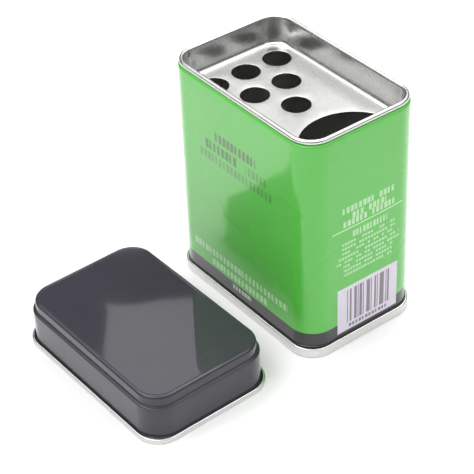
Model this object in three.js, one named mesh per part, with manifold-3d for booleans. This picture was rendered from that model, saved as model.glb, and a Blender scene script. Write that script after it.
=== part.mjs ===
// A rectangular tinplate spice tin: a printed sleeve, a seamed-on bottom end, a drawn sifter
// tray pressed into the top, and a slip lid. Millimetres, +Z up.
//
// The tin stands open and its lid lies beside it, top up, on the same surface (z = 0). The
// origin is the middle of the ground that the two cover. +X is the tin's pouring end and -Y is
// the side that the lid lies on.
//
// Every piece is sheet metal bent round the same rounded rectangle, so each is described by
// one section. In a section, x is the distance outside the sleeve's side face (negative is
// inside) and y is the height.
import * as THREE from "three";
import { mergeVertices } from "three/addons/utils/BufferGeometryUtils.js";
import Module from "manifold-3d";

const wasm = await Module();
wasm.setup();

// Tinplate
const SHEET = 0.22;
const LAYER_GAP = 0.03;

// Sleeve
const TIN_LENGTH = 68;
const TIN_WIDTH = 44.3;
const SLEEVE_TOP = 79;
const CORNER_RADIUS = 8.4;
const TOP_ROLL_RADIUS = 0.7;
const TOP_HEM = 1.2;
const LOCK_SEAM_WIDTH = 4;
const LOCK_SEAM_DEPTH = 0.6;
const RIB_REACH = 0.28;
const RIB_FOOT_RADIUS = 0.16;
const RIB_TIP_RADIUS = 0.16;
const RIB_FLARE_RADIUS = 0.75;

// Double seam that joins the bottom end to the sleeve
const SEAM_HEIGHT = 3.4;
const SEAM_FOOT_RADIUS = 0.25;
const BODY_HOOK_TOP = 2.6;
const END_HOOK_FOOT = 1.1;
const BOTTOM_PANEL_HEIGHT = 2.6;
const BOTTOM_PANEL_BEND = 0.6;

// Sifter tray
const TRAY_TOP = 80.65;
const TRAY_FLOOR = 70.6;
const TRAY_WALL_INSET = 1.75;
const TRAY_FLOOR_BEND = 1.7;
const TRAY_CURL_RADIUS = 0.7;
const SIFTER_HOLE_RADIUS = 4.65;
const SIFTER_PITCH = 12.45;
const SIFTER_LAST_ROW = 3;
const SIFTER_FIRST_X = -23;
const POUR_RADIUS = 16.75;
const POUR_FLAT_X = 29;
const POUR_CORNER_RADIUS = 1.5;
const CUTTER_DEPTH = 4;

// Slip lid
const LID_HEIGHT = 16.6;
const LID_CLEARANCE = 0.12;
const LID_SHOULDER_HEIGHT = 12.9;
const LID_STEP = 0.85;
const LID_TOP_BEND = 0.8;
const LID_SHOULDER_BEND = 0.4;
const LID_FLARE_REACH = 0.32;
const LID_FLARE_RADIUS = 0.9;
const LID_FLARE_TIP_RADIUS = 0.16;
const LID_CURL_WIDTH = 0.7;
const LID_CURL_HEIGHT = 1.5;
const LID_CURL_BEND = 0.26;
const LID_CURL_MOUTH = 0.45;

// Where the lid lies, from the middle of the tin's base
const LID_X = -0.55;
const LID_Y = -59.65;
const LID_TURN = THREE.MathUtils.degToRad(1.2);

// Faceting
const CORNER_STEPS = 6;
const BEND_DETAIL = 1;
const HOLE_STEPS = 24;
const POUR_DETAIL = 8;
const MERGE_DISTANCE = 1e-4;

const AXIS = -CORNER_RADIUS;
const LAYER = SHEET + LAYER_GAP;

const greenPrint = new THREE.MeshStandardMaterial({ color: 0x67bd59, roughness: 0.3, metalness: 0.1 });
const tinplate = new THREE.MeshStandardMaterial({ color: 0xc9c9c7, roughness: 0.35, metalness: 1 });
const blackLacquer = new THREE.MeshStandardMaterial({ color: 0x45434a, roughness: 0.25, metalness: 0.2 });

/** Adds a bend to a section in steps of up to a quarter turn, between two angles in degrees. */
function bend(path, x, y, radius, from, to) {
  const { degToRad } = THREE.MathUtils;
  const quarters = Math.ceil(Math.abs(to - from) / 90);
  const turn = (to - from) / quarters;
  for (let quarter = 0; quarter < quarters; quarter += 1) {
    const start = from + quarter * turn;
    path.absarc(x, y, radius, degToRad(start), degToRad(start + turn), turn < 0);
  }
}

/** How far a sheet runs on while two bends and a 45-degree slope shift it sideways. */
function jogRun(shift, radii) {
  return shift + radii * (Math.SQRT2 - 1);
}

function direction(from, to) {
  return to.clone().sub(from).normalize();
}

/** The outline of a bent sheet: its centreline, thickened by half a sheet on each side. */
function sheetOutline(centreline) {
  const points = centreline.getPoints(BEND_DETAIL).filter(
    (point, index, all) => index === 0 || point.distanceTo(all[index - 1]) > MERGE_DISTANCE,
  );
  const face = (side) => points.map((point, index) => {
    const arriving = direction(points[index - 1] ?? point, point);
    const leaving = direction(point, points[index + 1] ?? point);
    const heading = arriving.clone().add(leaving).normalize();
    const mitre = 1 / Math.max(heading.dot(arriving), heading.dot(leaving));
    const reach = side * mitre * SHEET / 2;
    return new THREE.Vector2(point.x - heading.y * reach, point.y + heading.x * reach);
  });
  return [...face(1), ...face(-1).reverse()];
}

/**
 * Sweeps a section round the tin. Rings inside the side face keep its corner centres, and
 * rings outside it keep its corner radius, as drawn metal does. A section that starts and
 * ends on AXIS is closed across the middle, and any other is closed on itself.
 */
function sweepRoundTin(outline) {
  const section = THREE.ShapeUtils.isClockWise(outline) ? [...outline].reverse() : [...outline];
  if (section[0].x > AXIS) {
    section.push(section[0]);
  }
  const columnsPerCorner = CORNER_STEPS + 1;
  const columns = 4 * columnsPerCorner;
  const lathePoints = section.map(({ x, y }) => new THREE.Vector2(x - AXIS, y));
  const geometry = new THREE.LatheGeometry(lathePoints, columns);
  geometry.deleteAttribute("normal");
  geometry.deleteAttribute("uv");
  const position = geometry.getAttribute("position");
  for (let index = 0; index < position.count; index += 1) {
    const column = Math.floor(index / section.length) % columns;
    const corner = Math.floor(column / columnsPerCorner);
    const angle = (corner + (column % columnsPerCorner) / CORNER_STEPS) * Math.PI / 2;
    const { x: offset, y: height } = section[index % section.length];
    const radius = CORNER_RADIUS + Math.min(offset, 0);
    const onAxis = offset <= AXIS;
    const centreX = onAxis ? 0 : TIN_LENGTH / 2 + offset - radius;
    const centreY = onAxis ? 0 : TIN_WIDTH / 2 + offset - radius;
    const signX = corner === 0 || corner === 3 ? 1 : -1;
    const signY = corner < 2 ? 1 : -1;
    position.setXYZ(
      index,
      signX * centreX + radius * Math.cos(angle),
      signY * centreY + radius * Math.sin(angle),
      height,
    );
  }
  return weld(geometry);
}

/** Merges the shared vertices and drops the triangles that have shrunk to a line. */
function weld(geometry) {
  geometry.deleteAttribute("normal");
  geometry.deleteAttribute("uv");
  const welded = mergeVertices(geometry, MERGE_DISTANCE);
  const corners = Array.from(welded.index.array);
  const kept = corners.filter((corner, index) => {
    const first = index - (index % 3);
    return new Set(corners.slice(first, first + 3)).size === 3;
  });
  welded.setIndex(kept);
  return welded;
}

function toSolid(geometry) {
  return new wasm.Manifold(new wasm.Mesh({
    numProp: 3,
    vertProperties: Float32Array.from(geometry.getAttribute("position").array),
    triVerts: Uint32Array.from(geometry.index.array),
  }));
}

function toGeometry(solid) {
  const { vertProperties, triVerts } = solid.getMesh();
  const geometry = new THREE.BufferGeometry();
  geometry.setAttribute("position", new THREE.BufferAttribute(vertProperties, 3));
  geometry.setIndex(new THREE.BufferAttribute(triVerts, 1));
  return geometry;
}

function namedMesh(name, geometry, material) {
  geometry.computeVertexNormals();
  const mesh = new THREE.Mesh(geometry, material);
  mesh.name = name;
  return mesh;
}

/**
 * One sheet wrapped round the tin. Its top edge rolls inwards, and it swells into a small rib
 * over the double seam before its foot hooks outwards into it.
 */
function makeSleeve() {
  const wall = -SHEET / 2;
  const rollX = wall - TOP_ROLL_RADIUS;
  const rollY = SLEEVE_TOP - TOP_ROLL_RADIUS - SHEET / 2;
  const hookRadius = LAYER;
  const hookY = SHEET + LAYER_GAP + SHEET / 2 + hookRadius;
  const ribY = SEAM_HEIGHT + LAYER_GAP;
  const tipY = ribY + jogRun(RIB_REACH, RIB_FOOT_RADIUS + RIB_TIP_RADIUS);
  const flareY = tipY + jogRun(RIB_REACH, RIB_TIP_RADIUS + RIB_FLARE_RADIUS);
  const centreline = new THREE.Path().moveTo(wall + 2 * hookRadius, BODY_HOOK_TOP);
  centreline.lineTo(wall + 2 * hookRadius, hookY);
  bend(centreline, wall + hookRadius, hookY, hookRadius, 0, -180);
  bend(centreline, wall + RIB_FOOT_RADIUS, ribY, RIB_FOOT_RADIUS, 180, 135);
  bend(centreline, wall + RIB_REACH - RIB_TIP_RADIUS, tipY, RIB_TIP_RADIUS, -45, 45);
  bend(centreline, wall + RIB_FLARE_RADIUS, flareY, RIB_FLARE_RADIUS, 225, 180);
  bend(centreline, rollX, rollY, TOP_ROLL_RADIUS, 0, 180);
  centreline.lineTo(rollX - TOP_ROLL_RADIUS, rollY - TOP_HEM);
  const tube = toSolid(sweepRoundTin(sheetOutline(centreline)));
  return namedMesh("body_sleeve", toGeometry(tube.add(toSolid(makeLockSeam()))), greenPrint);
}

/** The folded side seam, a flat strip inside the narrow wall at the sifting end. */
function makeLockSeam() {
  const foot = SEAM_HEIGHT;
  const head = SLEEVE_TOP - 2 * TOP_ROLL_RADIUS - TOP_HEM - SHEET;
  const strip = new THREE.BoxGeometry(LOCK_SEAM_DEPTH, LOCK_SEAM_WIDTH, head - foot);
  const wallMiddle = SHEET / 2 - TIN_LENGTH / 2;
  strip.translate(wallMiddle + LOCK_SEAM_DEPTH / 2, 0, (head + foot) / 2);
  return weld(strip);
}

/** The bottom: a raised panel, a wall down inside the sleeve, and a seam folded round its foot. */
function makeBottomEnd() {
  const sleeveWall = -SHEET / 2;
  const chuckWall = sleeveWall - LAYER;
  const endHook = sleeveWall + LAYER;
  const seamWall = sleeveWall + 3 * LAYER;
  const footY = SHEET / 2 + SEAM_FOOT_RADIUS;
  const foldRadius = LAYER;
  const foldY = SEAM_HEIGHT - SHEET / 2 - foldRadius;
  const panelX = chuckWall - BOTTOM_PANEL_BEND;
  const panelY = BOTTOM_PANEL_HEIGHT - BOTTOM_PANEL_BEND;
  const centreline = new THREE.Path().moveTo(AXIS, BOTTOM_PANEL_HEIGHT);
  centreline.lineTo(panelX, BOTTOM_PANEL_HEIGHT);
  bend(centreline, panelX, panelY, BOTTOM_PANEL_BEND, 90, 0);
  bend(centreline, chuckWall + SEAM_FOOT_RADIUS, footY, SEAM_FOOT_RADIUS, 180, 270);
  bend(centreline, seamWall - SEAM_FOOT_RADIUS, footY, SEAM_FOOT_RADIUS, -90, 0);
  bend(centreline, endHook + foldRadius, foldY, foldRadius, 0, 180);
  centreline.lineTo(endHook, END_HOOK_FOOT);
  return namedMesh("bottom_end", sweepRoundTin(sheetOutline(centreline)), tinplate);
}

/** Cutters for the sifting holes: rows of three, two and one that narrow to the pouring end. */
function sifterCutters() {
  const cutters = [];
  for (let row = 0; row < SIFTER_LAST_ROW; row += 1) {
    const holes = SIFTER_LAST_ROW - row;
    for (let hole = 0; hole < holes; hole += 1) {
      const cutter = new THREE.CylinderGeometry(
        SIFTER_HOLE_RADIUS, SIFTER_HOLE_RADIUS, CUTTER_DEPTH, HOLE_STEPS,
      );
      cutter.rotateX(Math.PI / 2);
      const across = (hole - (holes - 1) / 2) * SIFTER_PITCH;
      cutter.translate(SIFTER_FIRST_X + row * SIFTER_PITCH, across, TRAY_FLOOR);
      cutters.push(weld(cutter));
    }
  }
  return cutters;
}

/** Cutter for the half-moon pouring hole: its flat side faces the end wall. */
function pourCutter() {
  const cornerX = POUR_FLAT_X - POUR_CORNER_RADIUS;
  const cornerY = Math.sqrt((POUR_RADIUS - POUR_CORNER_RADIUS) ** 2 - POUR_CORNER_RADIUS ** 2);
  const cornerAngle = Math.atan2(cornerY, -POUR_CORNER_RADIUS);
  const outline = new THREE.Shape().moveTo(POUR_FLAT_X, -cornerY);
  outline.lineTo(POUR_FLAT_X, cornerY);
  outline.absarc(cornerX, cornerY, POUR_CORNER_RADIUS, 0, cornerAngle, false);
  outline.absarc(POUR_FLAT_X, 0, POUR_RADIUS, cornerAngle, 2 * Math.PI - cornerAngle, false);
  outline.absarc(cornerX, -cornerY, POUR_CORNER_RADIUS, -cornerAngle, 0, false);
  const cutter = new THREE.ExtrudeGeometry(outline, {
    depth: CUTTER_DEPTH,
    bevelEnabled: false,
    curveSegments: POUR_DETAIL,
  });
  cutter.translate(0, 0, TRAY_FLOOR - CUTTER_DEPTH / 2);
  return weld(cutter);
}

/** The tray: a pierced floor, a wall inside the sleeve's rolled edge, and a curl over it. */
function makeSifterTray() {
  const wall = SHEET / 2 - TRAY_WALL_INSET - SHEET;
  const floorY = TRAY_FLOOR - SHEET / 2;
  const curlX = wall + TRAY_CURL_RADIUS;
  const curlY = TRAY_TOP - SHEET / 2 - TRAY_CURL_RADIUS;
  const centreline = new THREE.Path().moveTo(AXIS, floorY);
  centreline.lineTo(wall - TRAY_FLOOR_BEND, floorY);
  bend(centreline, wall - TRAY_FLOOR_BEND, floorY + TRAY_FLOOR_BEND, TRAY_FLOOR_BEND, -90, 0);
  bend(centreline, curlX, curlY, TRAY_CURL_RADIUS, 180, -90);
  const blank = toSolid(sweepRoundTin(sheetOutline(centreline)));
  const cutters = [...sifterCutters(), pourCutter()];
  const pierced = cutters.reduce((solid, cutter) => solid.subtract(toSolid(cutter)), blank);
  return namedMesh("sifter_tray", toGeometry(pierced), tinplate);
}

/**
 * The lid: a flat top, an upper wall, a shoulder that meets the tray's curl, and a skirt that
 * slides over the sleeve, flares a little and is rolled outwards at its foot.
 */
function makeLid() {
  const skirt = LID_CLEARANCE + SHEET / 2;
  const upperWall = skirt - LID_STEP;
  const topY = LID_HEIGHT - SHEET / 2;
  const shoulderY = LID_SHOULDER_HEIGHT - SHEET / 2;
  const curlInner = skirt + LID_FLARE_REACH;
  const curlOuter = curlInner + LID_CURL_WIDTH;
  const curlFoot = SHEET / 2 + LID_CURL_BEND;
  const curlHead = SHEET / 2 + LID_CURL_HEIGHT - LID_CURL_BEND;
  const flareY = curlHead + jogRun(LID_FLARE_REACH, LID_FLARE_RADIUS + LID_FLARE_TIP_RADIUS);
  const step = LID_SHOULDER_BEND;
  const centreline = new THREE.Path().moveTo(AXIS, topY);
  centreline.lineTo(upperWall - LID_TOP_BEND, topY);
  bend(centreline, upperWall - LID_TOP_BEND, topY - LID_TOP_BEND, LID_TOP_BEND, 90, 0);
  bend(centreline, upperWall + step, shoulderY + step, step, 180, 270);
  bend(centreline, skirt - step, shoulderY - step, step, 90, 0);
  bend(centreline, skirt + LID_FLARE_RADIUS, flareY, LID_FLARE_RADIUS, 180, 225);
  bend(centreline, curlInner - LID_FLARE_TIP_RADIUS, curlHead, LID_FLARE_TIP_RADIUS, 45, 0);
  bend(centreline, curlInner + LID_CURL_BEND, curlFoot, LID_CURL_BEND, 180, 270);
  bend(centreline, curlOuter - LID_CURL_BEND, curlFoot, LID_CURL_BEND, -90, 0);
  bend(centreline, curlOuter - LID_CURL_BEND, curlHead, LID_CURL_BEND, 0, 90);
  centreline.lineTo(curlInner + LID_CURL_MOUTH - SHEET / 2, curlHead + LID_CURL_BEND);
  return namedMesh("slip_lid", sweepRoundTin(sheetOutline(centreline)), blackLacquer);
}

const tin = new THREE.Group();
tin.add(makeSleeve(), makeBottomEnd(), makeSifterTray());

const lid = new THREE.Group();
lid.add(makeLid());
lid.position.set(LID_X, LID_Y, 0);
lid.rotation.z = LID_TURN;

const group = new THREE.Group();
group.add(tin, lid);
const middle = new THREE.Box3().setFromObject(group, true).getCenter(new THREE.Vector3());
group.position.set(-middle.x, -middle.y, 0);

export default group;
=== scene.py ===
"""A printed spice tin with a pressed-in sifter tray, and its black slip lid lying beside it.

Each piece is thin sheet metal bent round the same rounded rectangle, so it is described by one
section in millimetres, as in the CAD source: x is the distance outside the sleeve's side face
and y is the height. The section is swept round the tin, and the sheets are given the small
bows and ripples of real tinplate.
"""
import math

import bmesh
import bpy
from mathutils import Matrix, Vector, geometry, noise


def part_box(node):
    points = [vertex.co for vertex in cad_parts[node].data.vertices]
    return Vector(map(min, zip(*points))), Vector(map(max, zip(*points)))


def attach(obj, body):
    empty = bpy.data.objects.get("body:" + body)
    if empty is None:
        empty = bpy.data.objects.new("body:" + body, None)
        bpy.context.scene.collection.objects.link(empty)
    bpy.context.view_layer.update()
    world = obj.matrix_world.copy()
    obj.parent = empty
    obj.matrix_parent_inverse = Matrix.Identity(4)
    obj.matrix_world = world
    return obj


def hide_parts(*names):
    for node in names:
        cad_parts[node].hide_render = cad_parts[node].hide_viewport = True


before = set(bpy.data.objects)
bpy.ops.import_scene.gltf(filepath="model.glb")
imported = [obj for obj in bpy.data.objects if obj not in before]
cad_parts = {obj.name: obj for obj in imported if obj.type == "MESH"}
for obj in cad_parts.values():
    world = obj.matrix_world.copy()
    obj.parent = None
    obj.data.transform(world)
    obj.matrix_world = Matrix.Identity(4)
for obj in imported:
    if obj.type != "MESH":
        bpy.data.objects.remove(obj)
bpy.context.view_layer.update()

MM = 0.001

# The sheet metal, in millimetres, as in the CAD source
SHEET = 0.22
LAYER = SHEET + 0.03
TIN_LENGTH = 68
TIN_WIDTH = 44.3
CORNER_RADIUS = 8.4
LID_TURN = math.radians(1.2)

SLEEVE_TOP = 79
TOP_ROLL_RADIUS = 0.7
TOP_HEM = 1.2
RIB_REACH = 0.28
RIB_FOOT_RADIUS = 0.16
RIB_TIP_RADIUS = 0.16
RIB_FLARE_RADIUS = 0.75
BODY_HOOK_TOP = 2.6

SEAM_HEIGHT = 3.4
SEAM_FOOT_RADIUS = 0.25
END_HOOK_FOOT = 1.1
BOTTOM_PANEL_HEIGHT = 2.6
BOTTOM_PANEL_BEND = 0.6

TRAY_TOP = 80.65
TRAY_FLOOR = 70.6
TRAY_WALL_INSET = 1.75
TRAY_FLOOR_BEND = 1.7
TRAY_CURL_RADIUS = 0.7
SIFTER_HOLE_RADIUS = 4.65
SIFTER_PITCH = 12.45
SIFTER_ROWS = 3
SIFTER_FIRST_X = -23
POUR_RADIUS = 16.75
POUR_FLAT_X = 29
POUR_CORNER_RADIUS = 1.5

LID_HEIGHT = 16.6
LID_CLEARANCE = 0.12
LID_SHOULDER_HEIGHT = 12.9
LID_STEP = 0.85
LID_TOP_BEND = 0.8
LID_SHOULDER_BEND = 0.4
LID_FLARE_REACH = 0.32
LID_FLARE_RADIUS = 0.9
LID_FLARE_TIP_RADIUS = 0.16
LID_CURL_WIDTH = 0.7
LID_CURL_HEIGHT = 1.5
LID_CURL_BEND = 0.26
LID_CURL_MOUTH = 0.45

# How finely the sheets are drawn
BEND_STEPS = 8
CORNER_STEPS = 22
SIDE_STEPS = (10, 20)
WALL_STEP = 4.0
PANEL_RINGS = (0.08, 0.2, 0.32, 0.44, 0.55, 0.65, 0.74, 0.82, 0.89, 0.94, 0.975, 0.993)
FLOOR_STEP = 2.6
HOLE_STEPS = 64
SHARP_ANGLE = math.radians(38)

# Small irregularities of the sheets, in millimetres
WALL_BOW = 0.14
WALL_RIPPLE = 0.035
PANEL_RIPPLE = 0.03
RIPPLE_LENGTH = 17.0
LIP_ROUNDING = 0.11

# The side seam, on the narrow wall at the sifting end
LOCK_SEAM_HALF_WIDTH = 2.0
LOCK_SEAM_DEPTH = 0.6
LOCK_SEAM_SLOPE = 0.12
LOCK_SEAM_GROOVE = 0.16

# The print, in millimetres from the middle of the tin's base. Each row of blocks is its centre,
# half its width, its foot, its height, its letter pitch and a seed.
BAND_TOP = 9.0
# Top of the painted shade: a near-black band in the joint just above the bottom seam, standing in for the
# crevice's shadow
PAINTED_SHADE_TOP = SEAM_HEIGHT + 0.55
TITLE_ROWS = (
    (-0.6, 10.1, 60.7, 3.2, 1.95, 3),
    (-5.5, 10.2, 56.2, 3.3, 2.0, 11),
)
LIGHT_TITLE_ROWS = (
    (10.2, 4.6, 56.3, 3.0, 1.9, 21),
    (-0.6, 18.0, 52.0, 3.0, 1.9, 31),
)
PALE_ROWS = (
    (-0.4, 24.0, 13.9, 2.6, 1.9, 41),
    (-0.7, 14.4, 10.0, 2.4, 1.9, 51),
    (0.2, 4.8, 6.4, 1.7, 1.5, 61),
)
END_ROWS = (
    (1.7, 10.8, 50.9, 2.2, 1.62, 71),
    (1.6, 6.8, 48.2, 2.2, 1.62, 81),
    (1.9, 10.6, 45.9, 2.2, 1.62, 91),
    (2.0, 7.0, 41.1, 2.3, 1.35, 101),
)
PANEL_SIDES = (-10.6, 13.9)
PANEL_HEIGHTS = (5.2, 22.6)
BAR_HEIGHTS = (8.2, 21.2)
RULE_SIDES = (-12.8, 15.4)
RULE_HEIGHTS = (44.85, 45.25)
BARE_EDGE_HALF_WIDTH = 0.2


# ---------------------------------------------------------------- sections

def bend(x, y, radius, start, end):
    """The points of a bend about (x, y), between two angles in degrees."""
    steps = max(2, math.ceil(abs(end - start) / 90 * BEND_STEPS))
    angles = [math.radians(start + (end - start) * step / steps) for step in range(steps + 1)]
    return [Vector((x + radius * math.cos(a), y + radius * math.sin(a))) for a in angles]


def jog_run(shift, radii):
    """How far a sheet runs on while two bends and a 45-degree slope shift it sideways."""
    return shift + radii * (math.sqrt(2) - 1)


def faces_of(centreline):
    """The left and right faces of a sheet whose middle follows the centreline."""
    points = [p for i, p in enumerate(centreline) if i == 0 or (p - centreline[i - 1]).length > 1e-4]
    left, right = [], []
    for index, point in enumerate(points):
        arriving = (point - points[index - 1]).normalized() if index else None
        leaving = (points[index + 1] - point).normalized() if index + 1 < len(points) else None
        arriving = arriving or leaving
        leaving = leaving or arriving
        heading = (arriving + leaving).normalized()
        reach = SHEET / 2 / heading.dot(arriving)
        normal = Vector((-heading.y, heading.x))
        left.append(point + normal * reach)
        right.append(point - normal * reach)
    return left, right


def divided(points):
    """The points, with more put in along the long straight walls."""
    result = [points[0]]
    for start, end in zip(points, points[1:]):
        parts = max(1, round((end - start).length / WALL_STEP))
        result += [start.lerp(end, part / parts) for part in range(1, parts + 1)]
    return result


def sleeve_centreline():
    wall = -SHEET / 2
    roll_x = wall - TOP_ROLL_RADIUS
    roll_y = SLEEVE_TOP - TOP_ROLL_RADIUS - SHEET / 2
    hook = LAYER
    hook_y = SHEET / 2 + 2 * LAYER
    rib_y = SEAM_HEIGHT + LAYER - SHEET
    tip_y = rib_y + jog_run(RIB_REACH, RIB_FOOT_RADIUS + RIB_TIP_RADIUS)
    flare_y = tip_y + jog_run(RIB_REACH, RIB_TIP_RADIUS + RIB_FLARE_RADIUS)
    return [
        Vector((wall + 2 * hook, BODY_HOOK_TOP)),
        *bend(wall + hook, hook_y, hook, 0, -180),
        *bend(wall + RIB_FOOT_RADIUS, rib_y, RIB_FOOT_RADIUS, 180, 135),
        *bend(wall + RIB_REACH - RIB_TIP_RADIUS, tip_y, RIB_TIP_RADIUS, -45, 45),
        *bend(wall + RIB_FLARE_RADIUS, flare_y, RIB_FLARE_RADIUS, 225, 180),
        *bend(roll_x, roll_y, TOP_ROLL_RADIUS, 0, 180),
        Vector((roll_x - TOP_ROLL_RADIUS, roll_y - TOP_HEM)),
    ]


def bottom_centreline():
    sleeve_wall = -SHEET / 2
    chuck_wall = sleeve_wall - LAYER
    end_hook = sleeve_wall + LAYER
    seam_wall = sleeve_wall + 3 * LAYER
    foot_y = SHEET / 2 + SEAM_FOOT_RADIUS
    fold_y = SEAM_HEIGHT - SHEET / 2 - LAYER
    panel_x = chuck_wall - BOTTOM_PANEL_BEND
    panel_y = BOTTOM_PANEL_HEIGHT - BOTTOM_PANEL_BEND
    return [
        *bend(panel_x, panel_y, BOTTOM_PANEL_BEND, 90, 0),
        *bend(chuck_wall + SEAM_FOOT_RADIUS, foot_y, SEAM_FOOT_RADIUS, 180, 270),
        *bend(seam_wall - SEAM_FOOT_RADIUS, foot_y, SEAM_FOOT_RADIUS, -90, 0),
        *bend(end_hook + LAYER, fold_y, LAYER, 0, 180),
        Vector((end_hook, END_HOOK_FOOT)),
    ]


def tray_centreline():
    wall = -SHEET / 2 - TRAY_WALL_INSET
    floor_x = wall - TRAY_FLOOR_BEND
    floor_y = TRAY_FLOOR - SHEET / 2 + TRAY_FLOOR_BEND
    curl_x = wall + TRAY_CURL_RADIUS
    curl_y = TRAY_TOP - SHEET / 2 - TRAY_CURL_RADIUS
    return [
        *bend(floor_x, floor_y, TRAY_FLOOR_BEND, -90, 0),
        *bend(curl_x, curl_y, TRAY_CURL_RADIUS, 180, -90),
    ]


def lid_centreline():
    skirt = LID_CLEARANCE + SHEET / 2
    upper_wall = skirt - LID_STEP
    top_y = LID_HEIGHT - SHEET / 2
    shoulder_y = LID_SHOULDER_HEIGHT - SHEET / 2
    curl_inner = skirt + LID_FLARE_REACH
    curl_outer = curl_inner + LID_CURL_WIDTH
    curl_foot = SHEET / 2 + LID_CURL_BEND
    curl_head = SHEET / 2 + LID_CURL_HEIGHT - LID_CURL_BEND
    flare_y = curl_head + jog_run(LID_FLARE_REACH, LID_FLARE_RADIUS + LID_FLARE_TIP_RADIUS)
    step = LID_SHOULDER_BEND
    return [
        *bend(upper_wall - LID_TOP_BEND, top_y - LID_TOP_BEND, LID_TOP_BEND, 90, 0),
        *bend(upper_wall + step, shoulder_y + step, step, 180, 270),
        *bend(skirt - step, shoulder_y - step, step, 90, 0),
        *bend(skirt + LID_FLARE_RADIUS, flare_y, LID_FLARE_RADIUS, 180, 225),
        *bend(curl_inner - LID_FLARE_TIP_RADIUS, curl_head, LID_FLARE_TIP_RADIUS, 45, 0),
        *bend(curl_inner + LID_CURL_BEND, curl_foot, LID_CURL_BEND, 180, 270),
        *bend(curl_outer - LID_CURL_BEND, curl_foot, LID_CURL_BEND, -90, 0),
        *bend(curl_outer - LID_CURL_BEND, curl_head, LID_CURL_BEND, 0, 90),
        Vector((curl_inner + LID_CURL_MOUTH - SHEET / 2, curl_head + LID_CURL_BEND)),
    ]


# ---------------------------------------------------------------- sweeps

class Column:
    """One place round the tin: its corner centre, its outward direction and its share of the bow."""

    def __init__(self, centre, outward, bow):
        self.centre = centre
        self.outward = outward
        self.bow = bow

    def at(self, offset, height, scale=1.0):
        """The point of this column on the ring that lies offset outside the side face."""
        radius = CORNER_RADIUS + min(offset, 0)
        reach_x = TIN_LENGTH / 2 + offset - radius
        reach_y = TIN_WIDTH / 2 + offset - radius
        x = self.centre.x * reach_x + self.outward.x * radius
        y = self.centre.y * reach_y + self.outward.y * radius
        return Vector((x * scale, y * scale, height))


def ring_columns(seam_places=()):
    """The columns round the tin, from the +X side. seam_places are more of them across the -X side."""
    columns = []
    for side in range(4):
        turn = side * math.pi / 2
        outward = Vector((math.cos(turn), math.sin(turn)))
        along = Vector((-math.sin(turn), math.cos(turn)))
        steps = SIDE_STEPS[side % 2]
        places = [2 * step / steps - 1 for step in range(1, steps)]
        if side == 2 and seam_places:
            clear = max(seam_places)
            places = sorted([p for p in places if abs(p) > clear * 1.1] + list(seam_places))
        for place in places:
            columns.append(Column(outward + along * place, outward, 1 - place * place))
        for step in range(CORNER_STEPS + 1):
            angle = turn + math.pi / 2 * step / CORNER_STEPS
            direction = Vector((math.cos(angle), math.sin(angle)))
            columns.append(Column(outward + along, direction, 0.0))
    return columns


def ripple(point, size):
    """A smooth random height, the same each run."""
    return size * noise.noise(point / RIPPLE_LENGTH)


class SheetMesh:
    """Collects the rings of a swept sheet and joins them."""

    def __init__(self, columns):
        self.columns = columns
        self.bm = bmesh.new()

    def ring(self, point_of):
        return [self.bm.verts.new(point_of(column) * MM) for column in self.columns]

    def join(self, lower, upper, slot):
        """Quads between two rings, or a fan where one of them is a single point."""
        count = max(len(lower), len(upper))
        for index in range(count):
            after = (index + 1) % count
            corners = [lower[index % len(lower)], lower[after % len(lower)],
                       upper[after % len(upper)], upper[index % len(upper)]]
            corners = [v for k, v in enumerate(corners) if v not in corners[:k]]
            self.bm.faces.new(corners).material_index = slot

    def strip(self, rings, slot):
        for lower, upper in zip(rings, rings[1:]):
            self.join(lower, upper, slot)

    def finish(self, name, materials, location, turn=0.0):
        bmesh.ops.remove_doubles(self.bm, verts=self.bm.verts, dist=1e-8)
        bmesh.ops.recalc_face_normals(self.bm, faces=self.bm.faces)
        mesh = bpy.data.meshes.new(name)
        self.bm.to_mesh(mesh)
        self.bm.free()
        for material in materials:
            mesh.materials.append(material)
        mesh.shade_smooth()
        mesh.set_sharp_from_angle(angle=SHARP_ANGLE)
        mesh.transform(Matrix.Rotation(turn, 4, "Z"))
        piece = bpy.data.objects.new(name, mesh)
        piece.location = location
        bpy.context.scene.collection.objects.link(piece)
        return piece


def panel_rings(mesh, edge, height_of):
    """Rings that shrink from a panel's edge to its middle, which is a single point."""
    rings = [mesh.ring(lambda c, s=scale: height_of(c.at(edge.x, edge.y, s)))
             for scale in reversed(PANEL_RINGS)]
    return rings + [[mesh.bm.verts.new(height_of(Vector((0, 0, edge.y))) * MM)]]


# ---------------------------------------------------------------- pieces

def wall_share(height, foot, head):
    """How free a wall is to bow: none at its stiff foot and head, all of it half-way."""
    share = min(max((height - foot) / (head - foot), 0), 1)
    return math.sin(math.pi * share)


def sleeve_point(column, place, inside):
    """A point of the sleeve's wall, with its bow, ripples and side seam."""
    point = column.at(place.x, place.y)
    free = wall_share(place.y, SEAM_HEIGHT + 2, SLEEVE_TOP - 4)
    push = free * column.bow * (WALL_BOW + ripple(point, 4 * WALL_RIPPLE))
    push += min(free * 4, 1) * ripple(point * 2.1, WALL_RIPPLE)
    if column.outward.x < -0.99 and column.bow > 0:
        along = min(free * 12, 1)
        edge = LOCK_SEAM_HALF_WIDTH
        if inside and abs(point.y) < edge:
            push -= LOCK_SEAM_DEPTH * along
        if not inside and abs(point.y - edge) < LOCK_SEAM_SLOPE / 2:
            push -= LOCK_SEAM_GROOVE * along
    return point + Vector((column.outward.x, column.outward.y, 0)) * push


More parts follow.
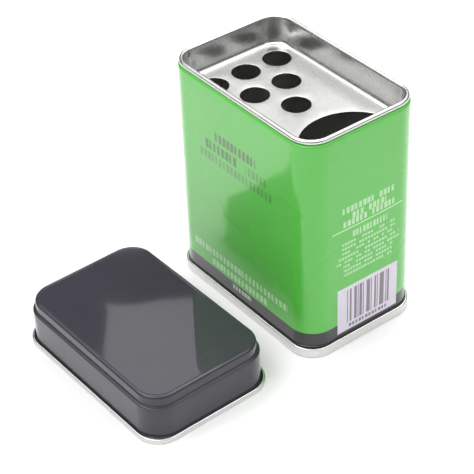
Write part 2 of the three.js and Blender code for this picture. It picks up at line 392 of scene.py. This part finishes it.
def make_sleeve(materials, location):
    half = TIN_WIDTH / 2 - CORNER_RADIUS
    edge, slope = LOCK_SEAM_HALF_WIDTH, LOCK_SEAM_SLOPE
    seam_places = [place / half for place in (
        -edge - slope, -edge, -edge + slope, -edge / 2, 0, edge / 2,
        edge - slope, edge, edge + slope,
    )]
    mesh = SheetMesh(ring_columns(seam_places))
    inner, outer = faces_of(divided(sleeve_centreline()))
    outer_rings = [mesh.ring(lambda c, p=p: sleeve_point(c, p, False)) for p in outer]
    inner_rings = [mesh.ring(lambda c, p=p: sleeve_point(c, p, True)) for p in inner]
    mesh.strip(outer_rings, 0)
    mesh.strip(inner_rings, 1)
    mesh.join(outer_rings[0], inner_rings[0], 1)
    mesh.join(outer_rings[-1], inner_rings[-1], 1)
    return mesh.finish("body_sleeve_sheet", materials, location)


def make_bottom(materials, location):
    def dished(point):
        return point + Vector((0, 0, ripple(point, PANEL_RIPPLE)))

    mesh = SheetMesh(ring_columns())
    upper, lower = faces_of(divided(bottom_centreline()))
    upper_rings = [mesh.ring(lambda c, p=p: c.at(p.x, p.y)) for p in upper]
    lower_rings = [mesh.ring(lambda c, p=p: c.at(p.x, p.y)) for p in lower]
    mesh.strip(upper_rings, 0)
    mesh.strip(lower_rings, 0)
    mesh.join(upper_rings[-1], lower_rings[-1], 0)
    mesh.strip([upper_rings[0], *panel_rings(mesh, upper[0], dished)], 0)
    mesh.strip([lower_rings[0], *panel_rings(mesh, lower[0], dished)], 0)
    return mesh.finish("bottom_end_sheet", materials, location)


def make_lid(materials, location):
    def dished(point):
        return point + Vector((0, 0, ripple(point, PANEL_RIPPLE) - PANEL_RIPPLE))

    def skirt_point(column, place):
        point = column.at(place.x, place.y)
        free = wall_share(place.y, LID_CURL_HEIGHT + 1, LID_SHOULDER_HEIGHT)
        push = free * ripple(point * 1.3, 2 * WALL_RIPPLE)
        return point + Vector((column.outward.x, column.outward.y, 0)) * push

    mesh = SheetMesh(ring_columns())
    outer, inner = faces_of(divided(lid_centreline()))
    outer_rings = [mesh.ring(lambda c, p=p: skirt_point(c, p)) for p in outer]
    inner_rings = [mesh.ring(lambda c, p=p: skirt_point(c, p)) for p in inner]
    mesh.strip(outer_rings, 0)
    mesh.strip(inner_rings, 1)
    mesh.join(outer_rings[-1], inner_rings[-1], 1)
    mesh.strip([outer_rings[0], *panel_rings(mesh, outer[0], dished)], 0)
    mesh.strip([inner_rings[0], *panel_rings(mesh, inner[0], dished)], 1)
    return mesh.finish("slip_lid_sheet", materials, location, LID_TURN)


def circle(x, y, radius):
    angles = [2 * math.pi * step / HOLE_STEPS for step in range(HOLE_STEPS)]
    return [Vector((x + radius * math.cos(a), y + radius * math.sin(a))) for a in angles]


def sifter_holes():
    """Rows of three, two and one round holes, narrowing to the pouring end."""
    holes = []
    for row in range(SIFTER_ROWS):
        count = SIFTER_ROWS - row
        for index in range(count):
            across = (index - (count - 1) / 2) * SIFTER_PITCH
            holes.append(circle(SIFTER_FIRST_X + row * SIFTER_PITCH, across, SIFTER_HOLE_RADIUS))
    return holes


def pour_hole():
    """The half-moon: its flat side faces the end wall, and its two corners are rounded."""
    corner_x = POUR_FLAT_X - POUR_CORNER_RADIUS
    corner_y = math.sqrt((POUR_RADIUS - POUR_CORNER_RADIUS) ** 2 - POUR_CORNER_RADIUS ** 2)
    turn = math.degrees(math.atan2(corner_y, -POUR_CORNER_RADIUS))
    steps = round(POUR_RADIUS / SIFTER_HOLE_RADIUS * HOLE_STEPS * (180 - turn) / 180)
    arc = [math.radians(turn + (360 - 2 * turn) * step / steps) for step in range(1, steps)]
    flat = [Vector((POUR_FLAT_X, corner_y * (2 * step / 10 - 1))) for step in range(1, 10)]
    return [
        *flat,
        *bend(corner_x, corner_y, POUR_CORNER_RADIUS, 0, turn),
        *[Vector((POUR_FLAT_X + POUR_RADIUS * math.cos(a), POUR_RADIUS * math.sin(a))) for a in arc],
        *bend(corner_x, -corner_y, POUR_CORNER_RADIUS, 360 - turn, 360),
    ]


def widened(outline, reach):
    """A closed outline, moved outwards."""
    result = []
    for index, point in enumerate(outline):
        along = (outline[(index + 1) % len(outline)] - outline[index - 1]).normalized()
        result.append(point + Vector((along.y, -along.x)) * reach)
    return result


def holds(outline, point):
    """Whether a closed outline holds a point."""
    inside = False
    for a, b in zip(outline, outline[1:] + outline[:1]):
        if (a.y > point.y) != (b.y > point.y):
            if point.x < a.x + (point.y - a.y) / (b.y - a.y) * (b.x - a.x):
                inside = not inside
    return inside


def pierced_panel(border, holes):
    """Triangles that fill a border round its holes, with an even net of points between them."""
    outlines = [border, *holes]
    points = [point for outline in outlines for point in outline]
    edges = []
    start = 0
    for outline in outlines:
        count = len(outline)
        edges += [(start + k, start + (k + 1) % count) for k in range(count)]
        start += count
    shrunk = widened(border, -FLOOR_STEP / 2)
    grown = [widened(hole, FLOOR_STEP / 3) for hole in holes]
    for column in range(-12, 13):
        for row in range(-8, 9):
            point = Vector(((column + row % 2 / 2) * FLOOR_STEP, row * FLOOR_STEP))
            if holds(shrunk, point) and not any(holds(hole, point) for hole in grown):
                points.append(point)
    found, _, triangles, *_ = geometry.delaunay_2d_cdt(points, edges, [], 0, 1e-6)
    kept = []
    for triangle in triangles:
        middle = sum((found[k] for k in triangle), Vector((0, 0))) / 3
        if holds(border, middle) and not any(holds(hole, middle) for hole in holes):
            kept.append(triangle)
    return found, kept


def make_tray(materials, location):
    """The tray: swept wall and curl, and a floor pierced by punched holes with rounded lips."""
    mesh = SheetMesh(ring_columns())
    upper, lower = faces_of(divided(tray_centreline()))
    upper_rings = [mesh.ring(lambda c, p=p: c.at(p.x, p.y)) for p in upper]
    lower_rings = [mesh.ring(lambda c, p=p: c.at(p.x, p.y)) for p in lower]
    mesh.strip(upper_rings, 0)
    mesh.strip(lower_rings, 0)
    mesh.join(upper_rings[-1], lower_rings[-1], 0)

    border = [c.at(upper[0].x, 0).xy for c in mesh.columns]
    holes = [*sifter_holes(), pour_hole()]
    lips = [widened(hole, LIP_ROUNDING) for hole in holes]
    net, triangles = pierced_panel(border, lips)
    for height in (TRAY_FLOOR, TRAY_FLOOR - SHEET):
        verts = [mesh.bm.verts.new(Vector((p.x, p.y, height)) * MM) for p in net]
        for triangle in triangles:
            mesh.bm.faces.new([verts[k] for k in triangle])
    profile = [p - Vector((0, LIP_ROUNDING)) for p in bend(0, 0, LIP_ROUNDING, 90, 0)]
    for hole in holes:
        rings = []
        for place in profile:
            outline = widened(hole, LIP_ROUNDING - place.x)
            rings.append([mesh.bm.verts.new(Vector((p.x, p.y, TRAY_FLOOR + place.y)) * MM) for p in outline])
        for reach in (0, LIP_ROUNDING):
            outline = widened(hole, reach)
            rings.append([mesh.bm.verts.new(Vector((p.x, p.y, TRAY_FLOOR - SHEET)) * MM) for p in outline])
        mesh.strip(rings, 0)
    return mesh.finish("sifter_tray_sheet", materials, location)


# ---------------------------------------------------------------- materials

def linear(red, green, blue):
    """A colour given as 0 to 255 screen values, as the linear values that a shader takes."""
    def one(value):
        share = value / 255
        return share / 12.92 if share <= 0.04045 else ((share + 0.055) / 1.055) ** 2.4

    return (one(red), one(green), one(blue), 1.0)


class Field:
    """A number that varies over a surface. Arithmetic on it adds nodes to its material."""

    def __init__(self, tree, socket):
        self.tree = tree
        self.socket = socket

    def math(self, operation, *others):
        node = self.tree.nodes.new("ShaderNodeMath")
        node.operation = operation
        for index, value in enumerate((self, *others)):
            if isinstance(value, Field):
                self.tree.links.new(value.socket, node.inputs[index])
            else:
                node.inputs[index].default_value = value
        return Field(self.tree, node.outputs[0])

    def __add__(self, other):
        return self.math("ADD", other)

    def __sub__(self, other):
        return self.math("SUBTRACT", other)

    def __mul__(self, other):
        return self.math("MULTIPLY", other)

    def __truediv__(self, other):
        return self.math("DIVIDE", other)

    def __or__(self, other):
        return self.math("MAXIMUM", other)

    def above(self, limit):
        return self.math("GREATER_THAN", limit)

    def below(self, limit):
        return self.math("LESS_THAN", limit)

    def between(self, low, high):
        return self.above(low) * self.below(high)

    def floor(self):
        return self.math("FLOOR")

    def fraction(self):
        return self.math("FRACT")

    def size(self):
        return self.math("ABSOLUTE")

    def spread(self, low, high, to_low=0.0, to_high=1.0):
        """Maps low..high onto to_low..to_high, smoothly and without going past them."""
        node = self.tree.nodes.new("ShaderNodeMapRange")
        node.interpolation_type = "SMOOTHSTEP"
        self.tree.links.new(self.socket, node.inputs["Value"])
        for name, value in (("From Min", low), ("From Max", high), ("To Min", to_low), ("To Max", to_high)):
            node.inputs[name].default_value = value
        return Field(self.tree, node.outputs["Result"])

    def chance(self, seed):
        """A random number from 0 to 1 for each whole number."""
        node = self.tree.nodes.new("ShaderNodeTexWhiteNoise")
        node.noise_dimensions = "1D"
        self.tree.links.new((self + (seed + 0.5)).socket, node.inputs["W"])
        return Field(self.tree, node.outputs["Value"])


class Finish:
    """A material under construction: one Principled shader, and the surface's own millimetres."""

    def __init__(self, name):
        self.material = bpy.data.materials.new(name)
        self.material.use_nodes = True
        self.tree = self.material.node_tree
        self.shader = self.tree.nodes["Principled BSDF"]
        self.place = self.tree.nodes.new("ShaderNodeTexCoord").outputs["Object"]
        split = self.tree.nodes.new("ShaderNodeSeparateXYZ")
        self.tree.links.new(self.place, split.inputs[0])
        self.x, self.y, self.z = (Field(self.tree, socket) * (1 / MM) for socket in split.outputs)

    def set(self, **values):
        for name, value in values.items():
            self.shader.inputs[name.replace("_", " ")].default_value = value

    def drive(self, name, field):
        self.tree.links.new(field.socket, self.shader.inputs[name])

    def noise(self, length, detail=2.0, stretch=(1, 1, 1)):
        """Smooth noise whose features are about length millimetres across."""
        mapping = self.tree.nodes.new("ShaderNodeMapping")
        mapping.inputs["Scale"].default_value = [1 / (MM * length * s) for s in stretch]
        self.tree.links.new(self.place, mapping.inputs["Vector"])
        node = self.tree.nodes.new("ShaderNodeTexNoise")
        node.inputs["Scale"].default_value = 1.0
        node.inputs["Detail"].default_value = detail
        node.inputs["Roughness"].default_value = 0.5
        self.tree.links.new(mapping.outputs[0], node.inputs["Vector"])
        return Field(self.tree, node.outputs["Fac"])

    def specks(self, pitch, radius, share):
        """Small round spots, in that share of the cells of a net of that pitch."""
        mapping = self.tree.nodes.new("ShaderNodeMapping")
        mapping.inputs["Scale"].default_value = (1 / (MM * pitch),) * 3
        self.tree.links.new(self.place, mapping.inputs["Vector"])
        node = self.tree.nodes.new("ShaderNodeTexVoronoi")
        node.inputs["Scale"].default_value = 1.0
        self.tree.links.new(mapping.outputs[0], node.inputs["Vector"])
        chosen = self.tree.nodes.new("ShaderNodeSeparateColor")
        self.tree.links.new(node.outputs["Color"], chosen.inputs[0])
        near = Field(self.tree, node.outputs["Distance"]).spread(radius / pitch, 0.4 * radius / pitch)
        return near * Field(self.tree, chosen.outputs[0]).below(share)

    def tint(self, base, layers):
        """A colour with others laid over it. Each layer is a mask from 0 to 1 and a colour."""
        colour = base
        for mask, over in layers:
            node = self.tree.nodes.new("ShaderNodeMix")
            node.data_type = "RGBA"
            self.tree.links.new(mask.socket, node.inputs["Factor"])
            for socket, value in ((node.inputs[6], colour), (node.inputs[7], over)):
                if isinstance(value, bpy.types.NodeSocket):
                    self.tree.links.new(value, socket)
                else:
                    socket.default_value = value
            colour = node.outputs[2]
        self.tree.links.new(colour, self.shader.inputs["Base Color"])

    def bump(self, field, depth, also_coat=False):
        """Raises the surface by the field times depth, in millimetres."""
        node = self.tree.nodes.new("ShaderNodeBump")
        node.inputs["Distance"].default_value = depth * MM
        self.tree.links.new(field.socket, node.inputs["Height"])
        self.tree.links.new(node.outputs[0], self.shader.inputs["Normal"])
        if also_coat:
            self.tree.links.new(node.outputs[0], self.shader.inputs["Coat Normal"])


def greeked_row(across, height, centre, half_width, base, cap, letter, seed):
    """A row of plain blocks in word-like groups, where a label has a line of print."""
    cell = (across - (centre - half_width)) / letter
    chance = cell.floor().chance(seed)
    width = chance.spread(0.0, 1.0, 0.62, 0.9)
    block = cell.fraction().above(0.12) * (cell.fraction() - width).below(0.0) * chance.above(0.06)
    return block * (across - centre).size().below(half_width) * height.between(base, base + cap)


def greeked_rows(across, height, rows):
    """Several rows of blocks together."""
    first, *others = rows
    result = greeked_row(across, height, *first)
    for row in others:
        result = result | greeked_row(across, height, *row)
    return result


def greeked_lines(across, height, centre, half_width, top, pitch, lines, letter, seed):
    """A block of fine centred lines, each with its own length and word gaps."""
    row = (height * -1 + top) / pitch
    line = row.floor()
    half = line.chance(seed) * (0.3 * half_width) + 0.72 * half_width
    cell = across / letter
    chance = (cell.floor() + line * 57.0).chance(seed + 9)
    block = cell.fraction().between(0.1, 0.82) * chance.above(0.17)
    within = ((across - centre).size() - half).below(0.0) * row.between(0.0, lines)
    return block * within * row.fraction().between(0.2, 0.72)


def bar_stripes(across, centre, half_width, module, seed):
    """Upright bars of random widths that spell nothing."""
    cell = (across - (centre - half_width)) / module
    return cell.floor().chance(seed).above(0.47) * (across - centre).size().below(half_width)


def printed_green():
    """Green lithographed ink under clear varnish, with its print, the dark band at its foot, and painted
    shade in the joint above the seam.
    """
    finish = Finish("printed_green")
    x, y, z = finish.x, finish.y, finish.z
    wide_side = y.size().above(TIN_WIDTH / 2 - 2)
    end_side = x.above(TIN_LENGTH / 2 - 2)
    across = x * (y.above(0.0) * -2.0 + 1.0)

    title = greeked_rows(across, z, TITLE_ROWS) * wide_side
    light_title = greeked_rows(across, z, LIGHT_TITLE_ROWS) * wide_side
    pale = greeked_rows(across, z, PALE_ROWS) * wide_side
    fine_lines = (1.6, 13.0, 40.4, 1.72, 8.0, 1.15, 111)
    end_print = (greeked_rows(y, z, END_ROWS) | greeked_lines(y, z, *fine_lines)) * end_side
    rule = y.between(*RULE_SIDES) * z.between(*RULE_HEIGHTS) * end_side
    panel = y.between(*PANEL_SIDES) * z.between(*PANEL_HEIGHTS) * end_side
    bars = bar_stripes(y, 1.9, 9.0, 0.36, 121) * z.between(*BAR_HEIGHTS)
    digits = greeked_row(y, z, 1.9, 8.0, 6.1, 1.3, 1.35, 131)
    bars = (bars | digits) * end_side

    seam_side = x.below(2 - TIN_LENGTH / 2)
    edge_low = LOCK_SEAM_HALF_WIDTH - BARE_EDGE_HALF_WIDTH
    edge_high = LOCK_SEAM_HALF_WIDTH + BARE_EDGE_HALF_WIDTH
    bare_edge = seam_side * y.between(edge_low, edge_high)
    mottle = finish.noise(2.5, 1.0).spread(0.3, 0.7, 0.0, 0.05)
    cloud = finish.noise(26.0, 0.0).spread(0.3, 0.7, 0.0, 0.06)
    finish.tint(GREEN_INK, [
        (mottle, GREEN_INK_DEEP),
        (cloud, GREEN_INK_PALE),
        (title * 0.85, TITLE_INK),
        (light_title * 0.5, TITLE_INK),
        (z.below(BAND_TOP), BAND_INK),
        # Painted shade: near black below this height, standing in for the shadow in the crevice above the
        # seam
        (z.below(PAINTED_SHADE_TOP), JOINT_PAINTED_SHADE),
        ((pale | end_print) * 0.62, PALE_INK),
        (rule * 0.8, PALE_INK),
        (panel, PANEL_INK),
        (bars * 0.8, BAR_INK),
        (bare_edge * 0.7, TIN_SHADE),
    ])
    finish.set(IOR=1.5, Specular_IOR_Level=0.25, Coat_Weight=1.0, Coat_Roughness=0.11, Coat_IOR=1.5)
    finish.drive("Roughness", finish.noise(14.0, 0.0).spread(0.3, 0.7, 0.27, 0.32))
    finish.bump(finish.noise(8.0, 0.0), 0.008, also_coat=True)
    return finish.material


def bare_tinplate(name, tone, roughness):
    """Bright tinplate: fine rolling lines, faint blotches of the tinning, and a few rub marks."""
    finish = Finish(name)
    grain = finish.noise(0.4, 1.0, stretch=(60, 1, 1))
    blotch = finish.noise(7.0, 2.0)
    rub = finish.noise(0.5, 2.0, stretch=(14, 1, 3)).spread(0.62, 0.74)
    finish.tint(tone, [
        (grain.spread(0.35, 0.65, 0.0, 0.06), TIN_SHADE),
        (blotch.spread(0.4, 0.7, 0.0, 0.06), TIN_SHADE),
        (rub * 0.03, TIN_BRIGHT),
    ])
    finish.set(Metallic=1.0, Anisotropic=0.25)
    wear = blotch.spread(0.3, 0.7, roughness - 0.015, roughness + 0.015)
    finish.drive("Roughness", wear)
    finish.bump(grain * 0.04 + finish.noise(12.0, 0.0), 0.003)
    return finish.material


def black_lacquer():
    """Black baked lacquer: a smooth gloss with dust specks and hairline scratches."""
    finish = Finish("black_lacquer")
    cloud = finish.noise(14.0, 2.0).spread(0.35, 0.65)
    hair = finish.noise(0.18, 1.0, stretch=(90, 1, 3)).spread(0.7, 0.78)
    dust = finish.specks(2.4, 0.07, 0.2)
    finish.tint(LACQUER, [
        (cloud * 0.25, LACQUER_PALE),
        (hair * 0.06, DUST),
        (dust * 0.5, DUST),
    ])
    finish.set(IOR=1.5, Specular_IOR_Level=0.05, Coat_Weight=1.0, Coat_Roughness=0.045, Coat_IOR=1.47)
    finish.drive("Roughness", finish.noise(16.0, 0.0).spread(0.3, 0.7, 0.26, 0.32) + hair * 0.1)
    finish.bump(finish.noise(9.0, 0.0), 0.006, also_coat=True)
    return finish.material


def studio_floor():
    """Smooth white card."""
    finish = Finish("studio_floor")
    finish.tint((0.92, 0.92, 0.92, 1), [(finish.noise(60.0, 2.0) * 0.03, (0.8, 0.8, 0.8, 1))])
    finish.set(Roughness=0.8)
    return finish.material


GREEN_INK = linear(86, 191, 68)
GREEN_INK_DEEP = linear(80, 180, 64)
GREEN_INK_PALE = linear(106, 198, 88)
TITLE_INK = linear(60, 92, 52)
PALE_INK = linear(214, 240, 206)
BAND_INK = linear(33, 31, 38)
# Near black for the painted shade in the joint above the bottom seam
JOINT_PAINTED_SHADE = linear(16, 16, 18)
PANEL_INK = linear(222, 214, 230)
BAR_INK = linear(70, 58, 70)
TIN_COLOUR = linear(219, 219, 217)
TIN_SHADE = linear(196, 196, 195)
TIN_INSIDE = linear(198, 200, 196)
TIN_BRIGHT = linear(246, 246, 244)
LACQUER = linear(54, 51, 60)
LACQUER_PALE = linear(59, 56, 65)
DUST = linear(150, 150, 152)


# ---------------------------------------------------------------- the tin and its lid

tin_low, tin_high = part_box("bottom_end")
tin_place = Vector(((tin_low.x + tin_high.x) / 2, (tin_low.y + tin_high.y) / 2, 0))
lid_low, lid_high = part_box("slip_lid")
lid_place = Vector(((lid_low.x + lid_high.x) / 2, (lid_low.y + lid_high.y) / 2, 0))

tinplate = bare_tinplate("tinplate", TIN_COLOUR, 0.27)
inside = bare_tinplate("tin_inside", TIN_INSIDE, 0.40)
green = printed_green()
black = black_lacquer()

pieces = [
    (make_sleeve([green, inside], tin_place), "tin", "body_sleeve", "green_print"),
    (make_bottom([tinplate], tin_place), "tin", "bottom_end", "tinplate"),
    (make_tray([tinplate], tin_place), "tray", "sifter_tray", "tinplate"),
    (make_lid([black, tinplate], lid_place), "lid", "slip_lid", "black_lacquer"),
]
for piece, body, node, slot in pieces:
    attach(piece, body)
    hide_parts(node)


# ---------------------------------------------------------------- camera

CAMERA_AZIMUTH = math.radians(53.73)
CAMERA_ELEVATION = math.radians(37.34)
CAMERA_ROLL = math.radians(-2.38)
CAMERA_DISTANCE = 0.5108
CAMERA_LENS = 126.38
CAMERA_TARGET = tin_place + Vector((6.92, -28.12, 36.62)) * MM


def add_camera():
    """The camera looks down at the tin's near corner, past the lid, and leans a little."""
    level = Vector((math.sin(CAMERA_AZIMUTH), -math.cos(CAMERA_AZIMUTH), 0))
    back = level * math.cos(CAMERA_ELEVATION) + Vector((0, 0, math.sin(CAMERA_ELEVATION)))
    right = Vector((math.cos(CAMERA_AZIMUTH), math.sin(CAMERA_AZIMUTH), 0))
    up = back.cross(right)
    leaning_right = right * math.cos(CAMERA_ROLL) + up * math.sin(CAMERA_ROLL)
    leaning_up = up * math.cos(CAMERA_ROLL) - right * math.sin(CAMERA_ROLL)
    camera = bpy.data.objects.new("camera", bpy.data.cameras.new("camera"))
    camera.data.lens = CAMERA_LENS
    camera.data.sensor_width = 36
    camera.data.clip_start = 0.01
    turned = Matrix((leaning_right, leaning_up, back)).transposed().to_4x4()
    camera.matrix_world = Matrix.Translation(CAMERA_TARGET + back * CAMERA_DISTANCE) @ turned
    bpy.context.scene.collection.objects.link(camera)
    bpy.context.scene.camera = camera


add_camera()


# ---------------------------------------------------------------- studio

def add_floor():
    mesh = bpy.data.meshes.new("studio_floor")
    half = FLOOR_HALF_WIDTH
    corners = [(-half, -half, 0), (half, -half, 0), (half, half, 0), (-half, half, 0)]
    mesh.from_pydata(corners, [], [(0, 1, 2, 3)])
    mesh.materials.append(studio_floor())
    floor = bpy.data.objects.new("studio_floor", mesh)
    bpy.context.scene.collection.objects.link(floor)


def add_softbox(name, turn, place, tilt, size, radiance):
    """A rectangular softbox. place is its distance right of, beyond and above the middle of the
    floor, seen along the view turned that many degrees to the right. Untilted, it faces the floor."""
    heading = CAMERA_AZIMUTH - math.radians(turn)
    light = bpy.data.lights.new(name, "AREA")
    light.shape = "RECTANGLE"
    light.size, light.size_y = size
    light.energy = radiance * light.size * light.size_y * math.pi
    box = bpy.data.objects.new(name, light)
    box.location = Matrix.Rotation(heading, 3, "Z") @ Vector(place)
    box.rotation_euler = (-math.radians(tilt), 0, heading)
    bpy.context.scene.collection.objects.link(box)


def add_surroundings():
    """A dim room, a bright band of white cloth above it, and a softer light overhead."""
    world = bpy.data.worlds.new("studio")
    world.use_nodes = True
    tree = world.node_tree
    split = tree.nodes.new("ShaderNodeSeparateXYZ")
    tree.links.new(tree.nodes.new("ShaderNodeTexCoord").outputs["Generated"], split.inputs[0])
    rise = Field(tree, split.outputs["Z"])
    band = rise.spread(CLOTH_EDGE, CLOTH_EDGE + LIGHT_BLUR, 0.0, CLOTH_LIGHT - ROOM_LIGHT)
    top = rise.spread(ZENITH_EDGE, ZENITH_EDGE + LIGHT_BLUR / 2, 0.0, CLOTH_LIGHT - ZENITH_LIGHT)
    light = band - top + ROOM_LIGHT
    background = tree.nodes["Background"]
    background.inputs["Color"].default_value = (1, 1, 1, 1)
    tree.links.new(light.socket, background.inputs["Strength"])
    bpy.context.scene.world = world


FLOOR_HALF_WIDTH = 2.5

# The surroundings: edges as heights on a unit sphere, and radiances
CLOTH_EDGE = 0.70
ZENITH_EDGE = 0.89
LIGHT_BLUR = 0.10
CLOTH_LIGHT = 3.1
ZENITH_LIGHT = 0.9
ROOM_LIGHT = 0.10

# Name, turn in degrees, place in metres, tilt in degrees, size in metres, radiance
SOFTBOXES = (
    ("overhead_panel", 0, (0.246, 0.45, 0.60), 0, (0.708, 0.50), 1.9),
    ("back_softbox", 0, (0.10, 0.80, 0.51), 57, (0.46, 0.18), 0.65),
    ("left_softbox", -72, (0, 0.70, 0.62), 48, (0.70, 0.26), 1.3),
    ("front_key", -126, (0, 0.52, 0.76), 34, (0.60, 0.50), 2.5),
    ("right_softbox", 108, (0, 0.70, 0.62), 48, (0.70, 0.26), 1.3),
)

add_floor()
add_surroundings()
for softbox in SOFTBOXES:
    add_softbox(*softbox)
bpy.context.scene.view_settings.view_transform = "Standard"
